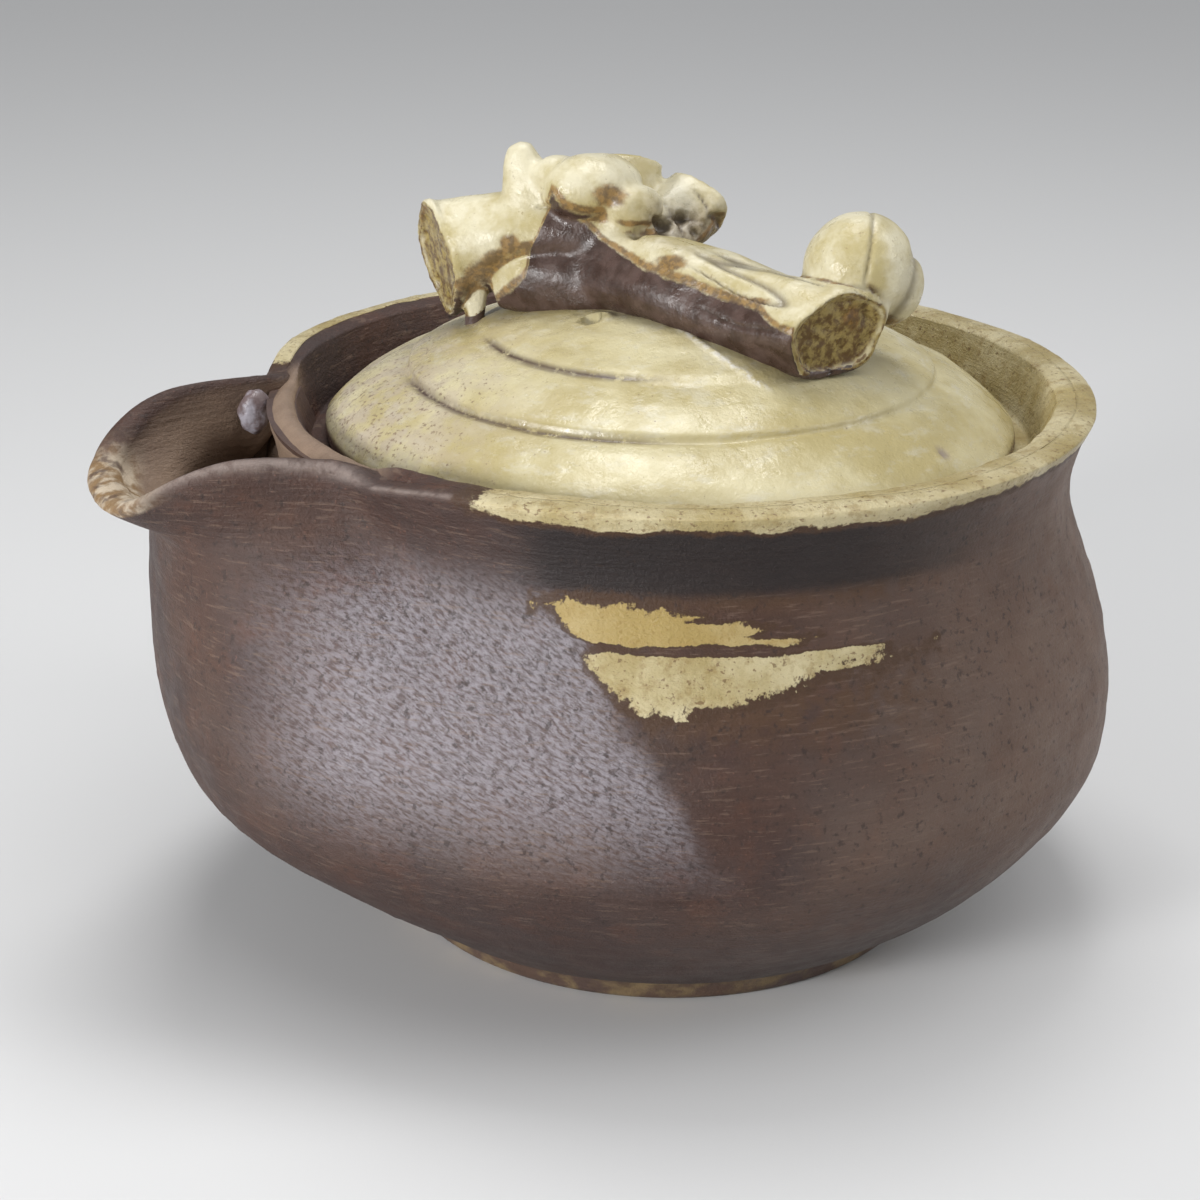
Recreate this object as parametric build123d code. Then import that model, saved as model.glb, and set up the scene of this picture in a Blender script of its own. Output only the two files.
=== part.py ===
from build123d import *
import math
import os

os.makedirs("parts", exist_ok=True)

# Millimetres. The origin is the centre of the foot on the table, +Z is up and the spout points to -X.

# Foot ring
foot_height = 4.5
foot_radius = 32.1
foot_flare = 2.3
foot_width = 5.6
foot_edge_round = 0.8

# Bowl outline: the belly, then rises and insets counted from it, and how the radius grows with height
body_overhang = 1.5
body_start_slope = 1.25
belly_height = 26.0
belly_radius = 52.35
shoulder_rise = 17.0
shoulder_inset = 3.55
shoulder_slope = -0.41
neck_rise = 11.5
neck_inset = 6.75
rim_rise = 7.9
rim_flare = 2.3
rim_slope = 0.45
bowl_wall = 4.0
floor_thickness = 4.0
floor_radius = 28.0
floor_bend = 12.0
wall_bend = 9.0

# Rim and the ledge that carries the lid
rim_width = 4.6
rim_crown = 0.5
ledge_drop = 5.9
ledge_inset = 2.3
ledge_width = 3.6
ledge_thickness = 2.2
ledge_root_drop = 3.6

# Spout: how far its keel reaches beyond the bowl at four heights
keel_low_drop = 4.0
keel_low_reach = 5.45
keel_low_slope = 0.45
keel_rise = 10.0
keel_reach = 8.05
throat_drop = 1.5
throat_reach = 14.2
tip_reach = 18.3
tip_slope = 0.45
tip_drop = 6.7
tip_drop_angle = 11.9
tip_drop_power = 4
tip_bend_depth = 12.4

# How far round the bowl the spout spreads, in degrees from its axis
spread_angle_foot = 40.0
spread_foot_slope = -0.12
spread_angle_keel = 35.0
spread_keel_slope = -0.3
spread_angle_neck = 21.4
spread_neck_slope = -1.0
spread_angle_rim = 16.7
spread_rim_slope = -0.4
roundness_low = 2.3
roundness_rim = 3.9

# Spout wall and where it runs out on the bowl
spout_wall = 3.6
spout_root_wall = 1.6
spout_wall_angle = 24.0
spout_wall_power = 3
spout_sink = 1.2
spout_start_rise = 5.5
spout_angles = (0.0, 5.0, 10.0, 15.0, 20.0, 25.0, 31.0, 38.0, 45.0, 52.0)
spout_levels = 8
root_dip = 7.0
root_dip_angle = 25.0
root_dip_end_angle = 40.0
lip_crown = 0.7
junction_dip = 1.5
junction_dip_angle = 26.0
junction_dip_width_angle = 9.5

# Strainer wall in the window behind the spout
window_half_angle = 24.0
window_sill_drop = 2.0
strainer_top_drop = 1.9
strainer_setback = 1.2
strainer_hole = 2.5
strainer_rows = 5
strainer_columns = 7
strainer_row_pitch = 4.8
strainer_column_angle = 5.6
strainer_sill_margin = 5.0

# Clay wads that key the strainer's upper corners to the spout
wad_radius = 2.2
wad_drop = 3.8
wad_angle = 18.5
wad_reach = 0.8
wad_stretch = 1.35

# Lid, with heights counted from the ledge
lid_gap = 0.3
lid_play = 1.7
lid_edge = 2.2
lid_step_radius = 29.6
lid_step_rise = 8.7
lid_step = 0.5
crown_radius = 21.4
crown_rise = 12.5
lid_rise = 15.9
lid_bulge = 0.7
lid_inner_bulge = 0.4
lid_wall = 4.0
flange_gap = 1.0
flange_wall = 2.6
flange_depth = 4.2
steam_hole = 2.8
steam_hole_x = -10.8
steam_hole_y = -3.2

# Length by which a cutting shape runs past what it cuts
cut_margin = 5.0

# Branch knob: each limb runs through stations of (x, y, z over the lid's top, half width, half height)
bark_points = 12
log_stations = (
    (-10.0, 9.0, 6.6, 4.6, 5.0),
    (-6.0, 2.0, 6.2, 6.2, 6.8),
    (-1.5, -5.5, 3.6, 6.1, 6.4),
    (4.0, -14.0, 0.8, 6.0, 5.9),
    (9.4, -22.6, -0.5, 7.4, 5.9),
)
log_end_facing = (0.22, -0.95, -0.2)
log_lobes = 5
log_ridge = 0.05
arm_stations = (
    (-7.0, 4.5, 6.8, 4.4, 4.8),
    (-14.0, 8.8, 6.2, 4.4, 4.8),
    (-19.5, 12.2, 4.2, 4.8, 5.2),
    (-23.2, 14.4, 2.5, 5.6, 6.3),
)
arm_lobes = 4
arm_ridge = 0.05
end_depth = 0.7
end_share = 0.78
peg_stations = (
    (-20.2, 11.2, -6.4, 1.1, 1.0),
    (-20.0, 11.0, -2.4, 1.2, 1.1),
    (-19.2, 11.0, 2.6, 1.4, 1.3),
)
peg_lobes = 3
peg_ridge = 0.05
lump_centre = (-8.4, 4.2, 12.2)
lump_radii = (5.4, 4.3, 3.8)
stub_stations = (
    (-12.8, 8.4, 7.1, 3.8, 3.6),
    (-13.6, 9.0, 10.8, 3.4, 3.0),
    (-14.2, 9.6, 14.6, 2.7, 2.3),
    (-14.4, 9.8, 16.5, 1.8, 1.4),
)
stub_lobes = 3
stub_ridge = 0.07
petal_stations = (
    (-5.0, 5.5, 6.6, 4.6, 2.8),
    (-4.0, 8.4, 10.4, 5.0, 2.8),
    (-3.0, 10.8, 13.6, 5.2, 2.4),
)
petal_lobes = 2
petal_ridge = 0.05
back_stations = (
    (-3.0, 2.0, 4.6, 4.2, 4.0),
    (1.4, 4.2, 7.0, 4.3, 4.0),
    (5.4, 6.1, 9.4, 4.6, 3.8),
)
back_lobes = 4
back_ridge = 0.06
bud_centre = (14.9, -16.4, 5.8)
bud_radii = (6.4, 6.2, 6.3)
lobe_centre = (18.1, -16.6, 3.8)
lobe_radii = (4.1, 4.4, 4.7)

# Sizes that follow from the ones above
foot_top_radius = foot_radius + foot_flare
foot_inner_radius = foot_radius - foot_width
body_start_radius = foot_top_radius + body_overhang
shoulder_height = belly_height + shoulder_rise
shoulder_radius = belly_radius - shoulder_inset
neck_height = shoulder_height + neck_rise
neck_radius = belly_radius - neck_inset
rim_height = neck_height + rim_rise
rim_radius = neck_radius + rim_flare
rim_inner_radius = rim_radius - rim_width
ledge_height = rim_height - ledge_drop
ledge_outer_radius = rim_inner_radius - ledge_inset
ledge_inner_radius = ledge_outer_radius - ledge_width
keel_low_height = belly_height - keel_low_drop
keel_height = belly_height + keel_rise
throat_height = neck_height - throat_drop
tip_bend_height = rim_height - tip_bend_depth
spout_start_height = foot_height + spout_start_rise
window_sill = belly_height - window_sill_drop
window_top = rim_height + cut_margin
strainer_top = rim_height - strainer_top_drop
wad_height = rim_height - wad_drop
wad_distance = neck_radius + wad_reach
lid_radius = ledge_outer_radius - lid_play
lid_seat = ledge_height + lid_gap
lid_top = ledge_height + lid_rise


def bend(knots, height):
    """Radius at a height on the smooth line through knots of (height, radius, slope)."""
    for (z0, r0, m0), (z1, r1, m1) in zip(knots, knots[1:]):
        if height <= z1:
            break
    span = z1 - z0
    u = (height - z0) / span
    start = (1 + 2 * u) * (1 - u) ** 2 * r0 + u * (1 - u) ** 2 * span * m0
    end = u * u * (3 - 2 * u) * r1 - u * u * (1 - u) * span * m1
    return start + end


def bend_edges(knots, inset=0.0):
    """The same line as edges in the XZ plane, moved inwards by inset."""
    edges = []
    for (z0, r0, m0), (z1, r1, m1) in zip(knots, knots[1:]):
        third = (z1 - z0) / 3
        points = [
            (r0 - inset, 0, z0),
            (r0 - inset + m0 * third, 0, z0 + third),
            (r1 - inset - m1 * third, 0, z1 - third),
            (r1 - inset, 0, z1),
        ]
        edges.append(Bezier(*points))
    return edges


bowl_line = [
    (foot_height, body_start_radius, body_start_slope),
    (belly_height, belly_radius, 0.0),
    (shoulder_height, shoulder_radius, shoulder_slope),
    (neck_height, neck_radius, 0.0),
    (rim_height, rim_radius, rim_slope),
]
keel_line = [
    (foot_height, body_start_radius, body_start_slope),
    (keel_low_height, belly_radius + keel_low_reach, keel_low_slope),
    (keel_height, belly_radius + keel_reach, 0.0),
    (throat_height, neck_radius + throat_reach, 0.0),
    (rim_height, rim_radius + tip_reach, tip_slope),
]
spread_line = [
    (foot_height, spread_angle_foot, spread_foot_slope),
    (keel_height, spread_angle_keel, spread_keel_slope),
    (neck_height, spread_angle_neck, spread_neck_slope),
    (rim_height, spread_angle_rim, spread_rim_slope),
]


def spin(edges):
    """Solid of revolution from a closed outline in the XZ plane."""
    return revolve(make_face(Wire(edges)), Axis.Z)


def chain(points):
    """Straight edges through (radius, height) points."""
    return [Line((a[0], 0, a[1]), (b[0], 0, b[1])) for a, b in zip(points, points[1:])]


def bowl_body(inset):
    """The bowl without its hollow, shrunk by inset."""
    return spin([*bend_edges(bowl_line, inset), *chain([
        (rim_radius - inset, rim_height),
        (0, rim_height),
        (0, foot_height),
        (body_start_radius - inset, foot_height),
    ])])


def bowl_solid():
    """The thrown bowl: outside, rounded rim, ledge for the lid, hollow and floor."""
    outer = bend_edges(bowl_line)
    crest = ThreePointArc(
        (rim_radius, 0, rim_height),
        (rim_radius - rim_width / 2, 0, rim_height + rim_crown),
        (rim_inner_radius, 0, rim_height),
    )
    root_height = ledge_height - ledge_thickness - ledge_root_drop
    root_radius = bend(bowl_line, root_height) - bowl_wall
    gallery = chain([
        (rim_inner_radius, rim_height),
        (ledge_outer_radius, ledge_height),
        (ledge_inner_radius, ledge_height),
        (ledge_inner_radius, ledge_height - ledge_thickness),
        (root_radius, root_height),
    ])
    shoulder_inner = shoulder_radius - bowl_wall
    belly_inner = belly_radius - bowl_wall
    inner_line = [
        (belly_height, belly_inner, 0.0),
        (shoulder_height, shoulder_inner, shoulder_slope),
        (root_height, root_radius, shoulder_slope / 2),
    ]
    floor_height = foot_height + floor_thickness
    floor_turn = Bezier(
        (floor_radius, 0, floor_height),
        (floor_radius + floor_bend, 0, floor_height),
        (belly_inner, 0, belly_height - wall_bend),
        (belly_inner, 0, belly_height),
    )
    base = chain([
        (floor_radius, floor_height),
        (0, floor_height),
        (0, foot_height),
        (body_start_radius, foot_height),
    ])
    return spin([*outer, crest, *gallery, *bend_edges(inner_line), floor_turn, *base])


def wedge(low, high):
    """Sector behind the spout between two heights, wide enough to cut the whole wall."""
    half = math.radians(window_half_angle)
    corner_x = -(belly_radius + cut_margin)
    corner_y = -corner_x * math.tan(half)
    outline = Polyline((0, 0), (corner_x, -corner_y), (corner_x, corner_y), close=True)
    return extrude(Plane.XY.offset(low) * make_face(outline), high - low)


def foot_ring():
    round_top = foot_edge_round
    return spin(chain([
        (foot_inner_radius, 0),
        (foot_radius - round_top, 0),
        (foot_radius, round_top),
        (foot_top_radius, foot_height),
        (foot_inner_radius, foot_height),
        (foot_inner_radius, 0),
    ]))


def spout_point(angle, level):
    """Point on the beak's outside, at an angle from its axis and a level, its height before the lip dips."""
    dip = tip_drop * math.exp(-((angle / tip_drop_angle) ** tip_drop_power))
    off_junction = (angle - junction_dip_angle) / junction_dip_width_angle
    dip += junction_dip * math.exp(-(off_junction ** 2))
    past = (angle - root_dip_angle) / (root_dip_end_angle - root_dip_angle)
    past = min(1.0, max(0.0, past))
    dip += root_dip * past * past * (3 - 2 * past)
    height = level - dip * max(0.0, (level - tip_bend_height) / tip_bend_depth)
    rise = max(0.0, (level - keel_height) / (rim_height - keel_height))
    roundness = roundness_low + (roundness_rim - roundness_low) * rise
    share = math.exp(-((angle / bend(spread_line, level)) ** roundness))
    root_radius = bend(bowl_line, height) - spout_sink
    radius = root_radius * (1 - share) + bend(keel_line, level) * share
    return Vector(radius, 0, height)


def spout_outline(angle):
    """Points up the outside and down the inside of the beak's wall, at an angle from the spout axis."""
    size = abs(angle)
    fade = math.exp(-((size / spout_wall_angle) ** spout_wall_power))
    wall = spout_root_wall + (spout_wall - spout_root_wall) * fade
    step = (rim_height - spout_start_height) / (spout_levels - 1)
    outer = [spout_point(size, spout_start_height + step * i) for i in range(spout_levels)]
    inner = []
    for i, point in enumerate(outer):
        below = outer[max(i - 1, 0)]
        above = outer[min(i + 1, spout_levels - 1)]
        along = (above - below).normalized()
        inner.append(point + Vector(-along.Z, 0, along.X) * wall)
    lip = (outer[-1] + inner[-1]) / 2 + Vector(0, 0, lip_crown * wall / spout_wall)
    return [*outer, lip], [lip, *reversed(inner)]


def places(points):
    """Share of the way along a line of points at which each one lies."""
    far = [0.0]
    for start, end in zip(points, points[1:]):
        far.append(far[-1] + (end - start).length)
    return [length / far[-1] for length in far]


def spout_shell():
    """The beak's wall, through upright sections that all share the spacing of the middle one."""
    shared = [places(side) for side in spout_outline(0.0)]
    sections = []
    for angle in [-a for a in reversed(spout_angles[1:])] + list(spout_angles):
        outer, inner = spout_outline(angle)
        edges = [
            Edge.make_spline(outer, parameters=shared[0]),
            Edge.make_spline(inner, parameters=shared[1]),
            Line(inner[-1], outer[0]),
        ]
        sections.append(Rot(0, 0, 180 - angle) * make_face(Wire(edges)))
    return loft(sections)


def strainer_wall(bowl_whole):
    """The piece of wall that stands in the window, set back from the bowl's outside and pierced."""
    wall = bowl_whole & bowl_body(strainer_setback) & wedge(window_sill, strainer_top)
    centred = (Align.CENTER, Align.CENTER, Align.MIN)
    drill = Cylinder(strainer_hole / 2, belly_radius + cut_margin, align=centred)
    holes = []
    for row in range(strainer_rows):
        count = strainer_columns - row % 2
        height = window_sill + strainer_sill_margin + row * strainer_row_pitch
        for column in range(count):
            angle = (column - (count - 1) / 2) * strainer_column_angle
            holes.append(Rot(0, 0, 180 + angle) * Pos(0, 0, height) * Rot(0, 90, 0) * drill)
    return wall - holes


def ball(centre, radii):
    """A squashed ball of clay."""
    return Pos(*centre) * scale(Sphere(1.0), by=radii)


def over_lid(point):
    """Place of a knob point whose height is counted from the lid's top."""
    return Vector(point[0], point[1], point[2] + lid_top)


def lute_wad(side):
    """Wad at one side of the strainer's top: side is 1 for far, -1 for near."""
    angle = math.radians(180 - side * wad_angle)
    centre = (wad_distance * math.cos(angle), wad_distance * math.sin(angle), wad_height)
    return ball(centre, (wad_radius, wad_radius, wad_radius * wad_stretch))


def dome_mid(radius, top, edge):
    """Height half-way out on the round cap through (0, top) and (radius, edge)."""
    drop = top - edge
    ball_radius = (radius ** 2 + drop ** 2) / (2 * drop)
    return top - ball_radius + math.sqrt(ball_radius ** 2 - (radius / 2) ** 2)


def swell(start, end, bulge):
    """Arc in the XZ plane that stands out from its chord by bulge."""
    chord = (Vector(*end) - Vector(*start)).normalized()
    middle = (Vector(*start) + Vector(*end)) / 2
    return ThreePointArc(start, middle + Vector(chord.Z, 0, -chord.X) * bulge, end)


def lid_solid():
    flange_radius = ledge_inner_radius - flange_gap
    flange_inner = flange_radius - flange_wall
    inner_top = lid_top - lid_wall
    edge = (lid_radius, 0, lid_seat + lid_edge)
    step_height = ledge_height + lid_step_rise
    step_low = (lid_step_radius, 0, step_height - lid_step)
    step_high = (lid_step_radius, 0, step_height)
    crown_height = ledge_height + crown_rise
    inner_low = (crown_radius, 0, crown_height - lid_step)
    inner_high = (crown_radius, 0, crown_height)
    half_crown = crown_radius / 2
    half_flange = flange_inner / 2
    return spin([
        Line((lid_radius, 0, lid_seat), edge),
        swell(edge, step_low, lid_bulge),
        Line(step_low, step_high),
        swell(step_high, inner_low, lid_inner_bulge),
        Line(inner_low, inner_high),
        ThreePointArc(
            inner_high,
            (half_crown, 0, dome_mid(crown_radius, lid_top, crown_height)),
            (0, 0, lid_top),
        ),
        Line((0, 0, lid_top), (0, 0, inner_top)),
        ThreePointArc(
            (0, 0, inner_top),
            (half_flange, 0, dome_mid(flange_inner, inner_top, lid_seat)),
            (flange_inner, 0, lid_seat),
        ),
        *chain([
            (flange_inner, lid_seat),
            (flange_inner, lid_seat - flange_depth),
            (flange_radius, lid_seat - flange_depth),
            (flange_radius, lid_seat),
            (lid_radius, lid_seat),
        ]),
    ]) - Pos(steam_hole_x, steam_hole_y, lid_top) * Cylinder(steam_hole / 2, lid_top)


def limb(stations, lobes, ridge, up=(0, 0, 1), facing=None):
    """Branch length with bark lobes round it; facing turns its sawn end away from its own line."""
    sections = []
    last = len(stations) - 1
    for i, (*centre, half_width, half_height) in enumerate(stations):
        before = over_lid(stations[max(i - 1, 0)])
        after = over_lid(stations[min(i + 1, last)])
        along = (after - before).normalized()
        if facing and i == last:
            along = Vector(*facing).normalized()
        plane = Plane(origin=over_lid(centre), x_dir=along.cross(Vector(*up)), z_dir=along)
        points = []
        for k in range(bark_points):
            angle = 2 * math.pi * k / bark_points
            bark = 1 + ridge * math.cos(lobes * angle)
            points.append((half_width * bark * math.cos(angle), half_height * bark * math.sin(angle)))
        sections.append(plane * make_face(Spline(*points, periodic=True)))
    return loft(sections)


def end_recess(stations, depth, share, facing=None):
    """Shallow hollow in the sawn end of a branch, inside its ring of bark."""
    *centre, half_width, half_height = stations[-1]
    along = over_lid(stations[-1]) - over_lid(stations[-2])
    if facing:
        along = Vector(*facing)
    along = along.normalized()
    plane = Plane(origin=over_lid(centre), x_dir=along.cross(Vector(0, 0, 1)), z_dir=along)
    face = plane * Ellipse(half_width * share, half_height * share)
    return extrude(face, depth, both=True)


bowl_whole = bowl_solid()
window = wedge(window_sill, window_top)
bowl = bowl_whole - window
strainer = strainer_wall(bowl_whole)
spout = spout_shell() - (bowl_body(0.0) - window) - strainer
wads = {}
for name, side in (("lute_wad_near", -1), ("lute_wad_far", 1)):
    wads[name] = lute_wad(side) - bowl - spout - strainer
lid = lid_solid()
whole_log = limb(log_stations, log_lobes, log_ridge, facing=log_end_facing)
log = whole_log - end_recess(log_stations, end_depth, end_share, log_end_facing) - lid
arm = limb(arm_stations, arm_lobes, arm_ridge)
arm = arm - end_recess(arm_stations, end_depth, end_share) - lid - log
peg = limb(peg_stations, peg_lobes, peg_ridge, up=(0, 1, 0)) - lid - arm
lump = ball(over_lid(lump_centre), lump_radii) - log - arm
stub = limb(stub_stations, stub_lobes, stub_ridge, up=(0, 1, 0)) - log - arm - lump
petal = limb(petal_stations, petal_lobes, petal_ridge) - log - arm - lump - stub
back = limb(back_stations, back_lobes, back_ridge) - log - lump - petal
bud = ball(over_lid(bud_centre), bud_radii) - whole_log
lobe = ball(over_lid(lobe_centre), lobe_radii) - bud - whole_log

parts = {
    "bowl": bowl,
    "foot_ring": foot_ring(),
    "spout": spout,
    "strainer_wall": strainer,
    **wads,
    "lid": lid,
    "branch_log": log,
    "branch_arm": arm,
    "prop_peg": peg,
    "crest_lump": lump,
    "top_stub": stub,
    "back_petal": petal,
    "back_stub": back,
    "bud": bud,
    "bud_lobe": lobe,
}
for name, shape in parts.items():
    export_step(shape, f"parts/{name}.step")
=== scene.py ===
import math
import bpy
import numpy as np
from mathutils import Matrix, Vector


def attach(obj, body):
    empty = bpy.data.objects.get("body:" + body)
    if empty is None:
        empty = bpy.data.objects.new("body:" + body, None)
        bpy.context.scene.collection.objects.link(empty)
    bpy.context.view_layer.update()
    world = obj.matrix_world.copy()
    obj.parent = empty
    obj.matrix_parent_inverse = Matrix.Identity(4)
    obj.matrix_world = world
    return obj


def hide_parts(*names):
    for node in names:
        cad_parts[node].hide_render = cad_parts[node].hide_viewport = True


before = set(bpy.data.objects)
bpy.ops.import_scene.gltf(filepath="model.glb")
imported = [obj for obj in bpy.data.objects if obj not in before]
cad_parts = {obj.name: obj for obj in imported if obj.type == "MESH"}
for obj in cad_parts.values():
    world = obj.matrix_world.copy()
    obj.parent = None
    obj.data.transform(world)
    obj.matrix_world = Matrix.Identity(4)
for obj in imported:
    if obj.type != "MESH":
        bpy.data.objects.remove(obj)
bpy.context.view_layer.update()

MM = 0.001


# Small tools

def hashed(cells, seed):
    """A steady random number from 0 to 1 for each whole-number cell."""
    x, y, z = (cells[..., k].astype(np.uint32) for k in range(3))
    with np.errstate(over="ignore"):
        n = x * np.uint32(374761393) + y * np.uint32(668265263) + z * np.uint32(2246822519)
        n = n + np.uint32(seed) * np.uint32(3266489917)
        n = (n ^ (n >> np.uint32(13))) * np.uint32(1274126177)
        n = n ^ (n >> np.uint32(16))
    return n.astype(np.float64) / 4294967295.0


def noise(points, size, seed):
    """Smooth noise from -1 to 1 whose lumps are about size across."""
    scaled = points / size
    base = np.floor(scaled)
    part = scaled - base
    part = part * part * (3 - 2 * part)
    base = base.astype(np.int64)
    total = np.zeros(points.shape[:-1])
    for corner in np.ndindex(2, 2, 2):
        weight = np.ones(points.shape[:-1])
        for k in range(3):
            weight = weight * (part[..., k] if corner[k] else 1 - part[..., k])
        total += weight * hashed(base + np.array(corner), seed)
    return total * 2 - 1


def layered(points, size, seed, layers=3):
    """Noise with finer noise on top of it."""
    return sum(noise(points, size / 2 ** k, seed + k) / 2 ** k for k in range(layers))


def ease(x, low, high):
    """0 below low, 1 above high, smooth between."""
    t = np.clip((x - low) / (high - low), 0, 1)
    return t * t * (3 - 2 * t)


def bump_at(x, centre, width):
    """1 at centre, falling off smoothly over width."""
    return np.exp(-(((x - centre) / width) ** 2))


def between(x, start, full, fade, end):
    """Rises from 0 to 1 between start and full, and falls back to 0 between fade and end."""
    return ease(x, start, full) * (1 - ease(x, fade, end))


def broken_line(x, knots):
    """The value at x on the straight lines through knots of (x, value)."""
    return np.interp(x, *zip(*knots))


def grid_faces(rows, columns, keep=None):
    """Quads of a grid whose columns go round; keep says for each point whether the quad after it stays."""
    i, j = np.meshgrid(np.arange(rows - 1), np.arange(columns), indexing="ij")
    right = (j + 1) % columns
    quads = np.stack([i * columns + j, i * columns + right,
                      (i + 1) * columns + right, (i + 1) * columns + j], axis=-1)
    if keep is not None:
        return quads[keep[:-1]]
    return quads.reshape(-1, 4)


def grid_normals(points):
    """Unit normals of a grid of points whose columns go round."""
    down = np.gradient(points, axis=0)
    across = (np.roll(points, -1, axis=1) - np.roll(points, 1, axis=1)) / 2
    normal = np.cross(across, down)
    length = np.linalg.norm(normal, axis=-1, keepdims=True)
    return normal / np.maximum(length, 1e-9)


def unit_ball(around):
    """Points of a ball of radius 1: a grid of around columns and half as many rows."""
    tall = np.linspace(0.02, math.pi - 0.02, around // 2)[:, None]
    wide = np.linspace(0, 2 * math.pi, around + 1)[:-1][None, :]
    return np.stack([np.sin(tall) * np.cos(wide), np.sin(tall) * np.sin(wide), np.cos(tall) + 0 * wide], -1)


def give_values(mesh, values):
    """Writes named numbers on a mesh's points, for the materials."""
    for key, value in values.items():
        layer = mesh.attributes.new(key, "FLOAT", "POINT")
        layer.data.foreach_set("value", np.asarray(value, float).ravel())


def add_mesh(name, points, faces, values=None):
    """A smooth mesh from points in millimetres, with named numbers on its points."""
    mesh = bpy.data.meshes.new(name)
    points = np.asarray(points, float).reshape(-1, 3) * MM
    faces = np.asarray(faces)
    mesh.vertices.add(len(points))
    mesh.vertices.foreach_set("co", points.ravel())
    mesh.loops.add(faces.size)
    mesh.loops.foreach_set("vertex_index", faces.ravel())
    mesh.polygons.add(len(faces))
    mesh.polygons.foreach_set("loop_start", np.arange(0, faces.size, faces.shape[1]))
    mesh.update(calc_edges=True)
    mesh.validate()
    mesh.polygons.foreach_set("use_smooth", np.ones(len(mesh.polygons), bool))
    give_values(mesh, values or {})
    piece = bpy.data.objects.new(name, mesh)
    bpy.context.scene.collection.objects.link(piece)
    return piece


def on_axis(azimuth, radius, height):
    """Points from an azimuth in radians, a radius and a height."""
    azimuth, radius, height = np.broadcast_arrays(azimuth, radius, height)
    return np.stack([radius * np.cos(azimuth), radius * np.sin(azimuth), height], axis=-1)


# The pot: the same lines as the frame's solids, in millimetres

BOWL = ((4.5, 35.9, 1.25), (26.0, 52.35, 0.0), (43.0, 48.8, -0.41), (54.5, 45.6, 0.0), (62.4, 47.9, 0.45))
KEEL = ((4.5, 35.9, 1.25), (22.0, 57.8, 0.45), (36.0, 60.4, 0.0), (53.0, 59.8, 0.0), (62.4, 66.2, 0.45))
SPREAD = ((4.5, 40.0, -0.12), (36.0, 35.0, -0.3), (54.5, 21.4, -1.0), (62.4, 16.7, -0.4))
FOOT = 4.5
FLOOR_TOP = 8.5
CHANNEL_FLOOR = 25.0
BELLY = 26.0
LEDGE_ROOT = 50.7
UNDER_LEDGE = 54.3
LEDGE = 56.5
STRAINER_TOP = 59.4
RIM = 62.4
LEDGE_RADIUS = 37.4

# The pot skin's rows, counted up from the foot: how many there are at the end of each part
OUTSIDE = 115
LIP = 127
CHANNEL = 173
CREST = 184
SLOPE = 195


def line_at(knots, height):
    """Radius at each height on the smooth line through knots of (height, radius, slope)."""
    height = np.asarray(height, float)
    result = np.zeros(height.shape)
    for k, ((z0, r0, m0), (z1, r1, m1)) in enumerate(zip(knots, knots[1:])):
        last = k == len(knots) - 2
        here = (height >= z0 if k else height > -1e9) & (height < z1 if not last else height < 1e9)
        span = z1 - z0
        u = (height - z0) / span
        curve = (1 + 2 * u) * (1 - u) ** 2 * r0 + u * (1 - u) ** 2 * span * m0
        curve = curve + u * u * (3 - 2 * u) * r1 - u * u * (1 - u) * span * m1
        result = np.where(here, curve, result)
    return result


def lip_dip(psi):
    """How far the lip drops below the rim, at degrees from the spout axis."""
    size = np.abs(psi)
    return 6.7 * np.exp(-((size / 11.9) ** 4)) + 1.5 * bump_at(size, 26.0, 9.5)


def outer_point(psi, level):
    """Radius and height of the pot's outside; levels count up the wall before the lip dips."""
    dip_from, rise_from = 50.0, 36.0
    height = level - lip_dip(psi) * np.maximum(0, (level - dip_from) / (RIM - dip_from))
    rise = np.maximum(0, (level - rise_from) / (RIM - rise_from))
    roundness = 2.3 + 1.6 * rise
    share = np.exp(-((np.abs(psi) / line_at(SPREAD, level)) ** roundness))
    radius = line_at(BOWL, height) * (1 - share) + line_at(KEEL, level) * share
    return radius, height


def pot_columns():
    """Degrees from the spout axis: close together round the spout, wider behind."""
    near = np.arange(-40, 40.01, 0.5)
    rest = np.linspace(40, 320, 301)[1:-1]
    return np.concatenate([near, np.where(rest > 180, rest - 360, rest)])


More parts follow.
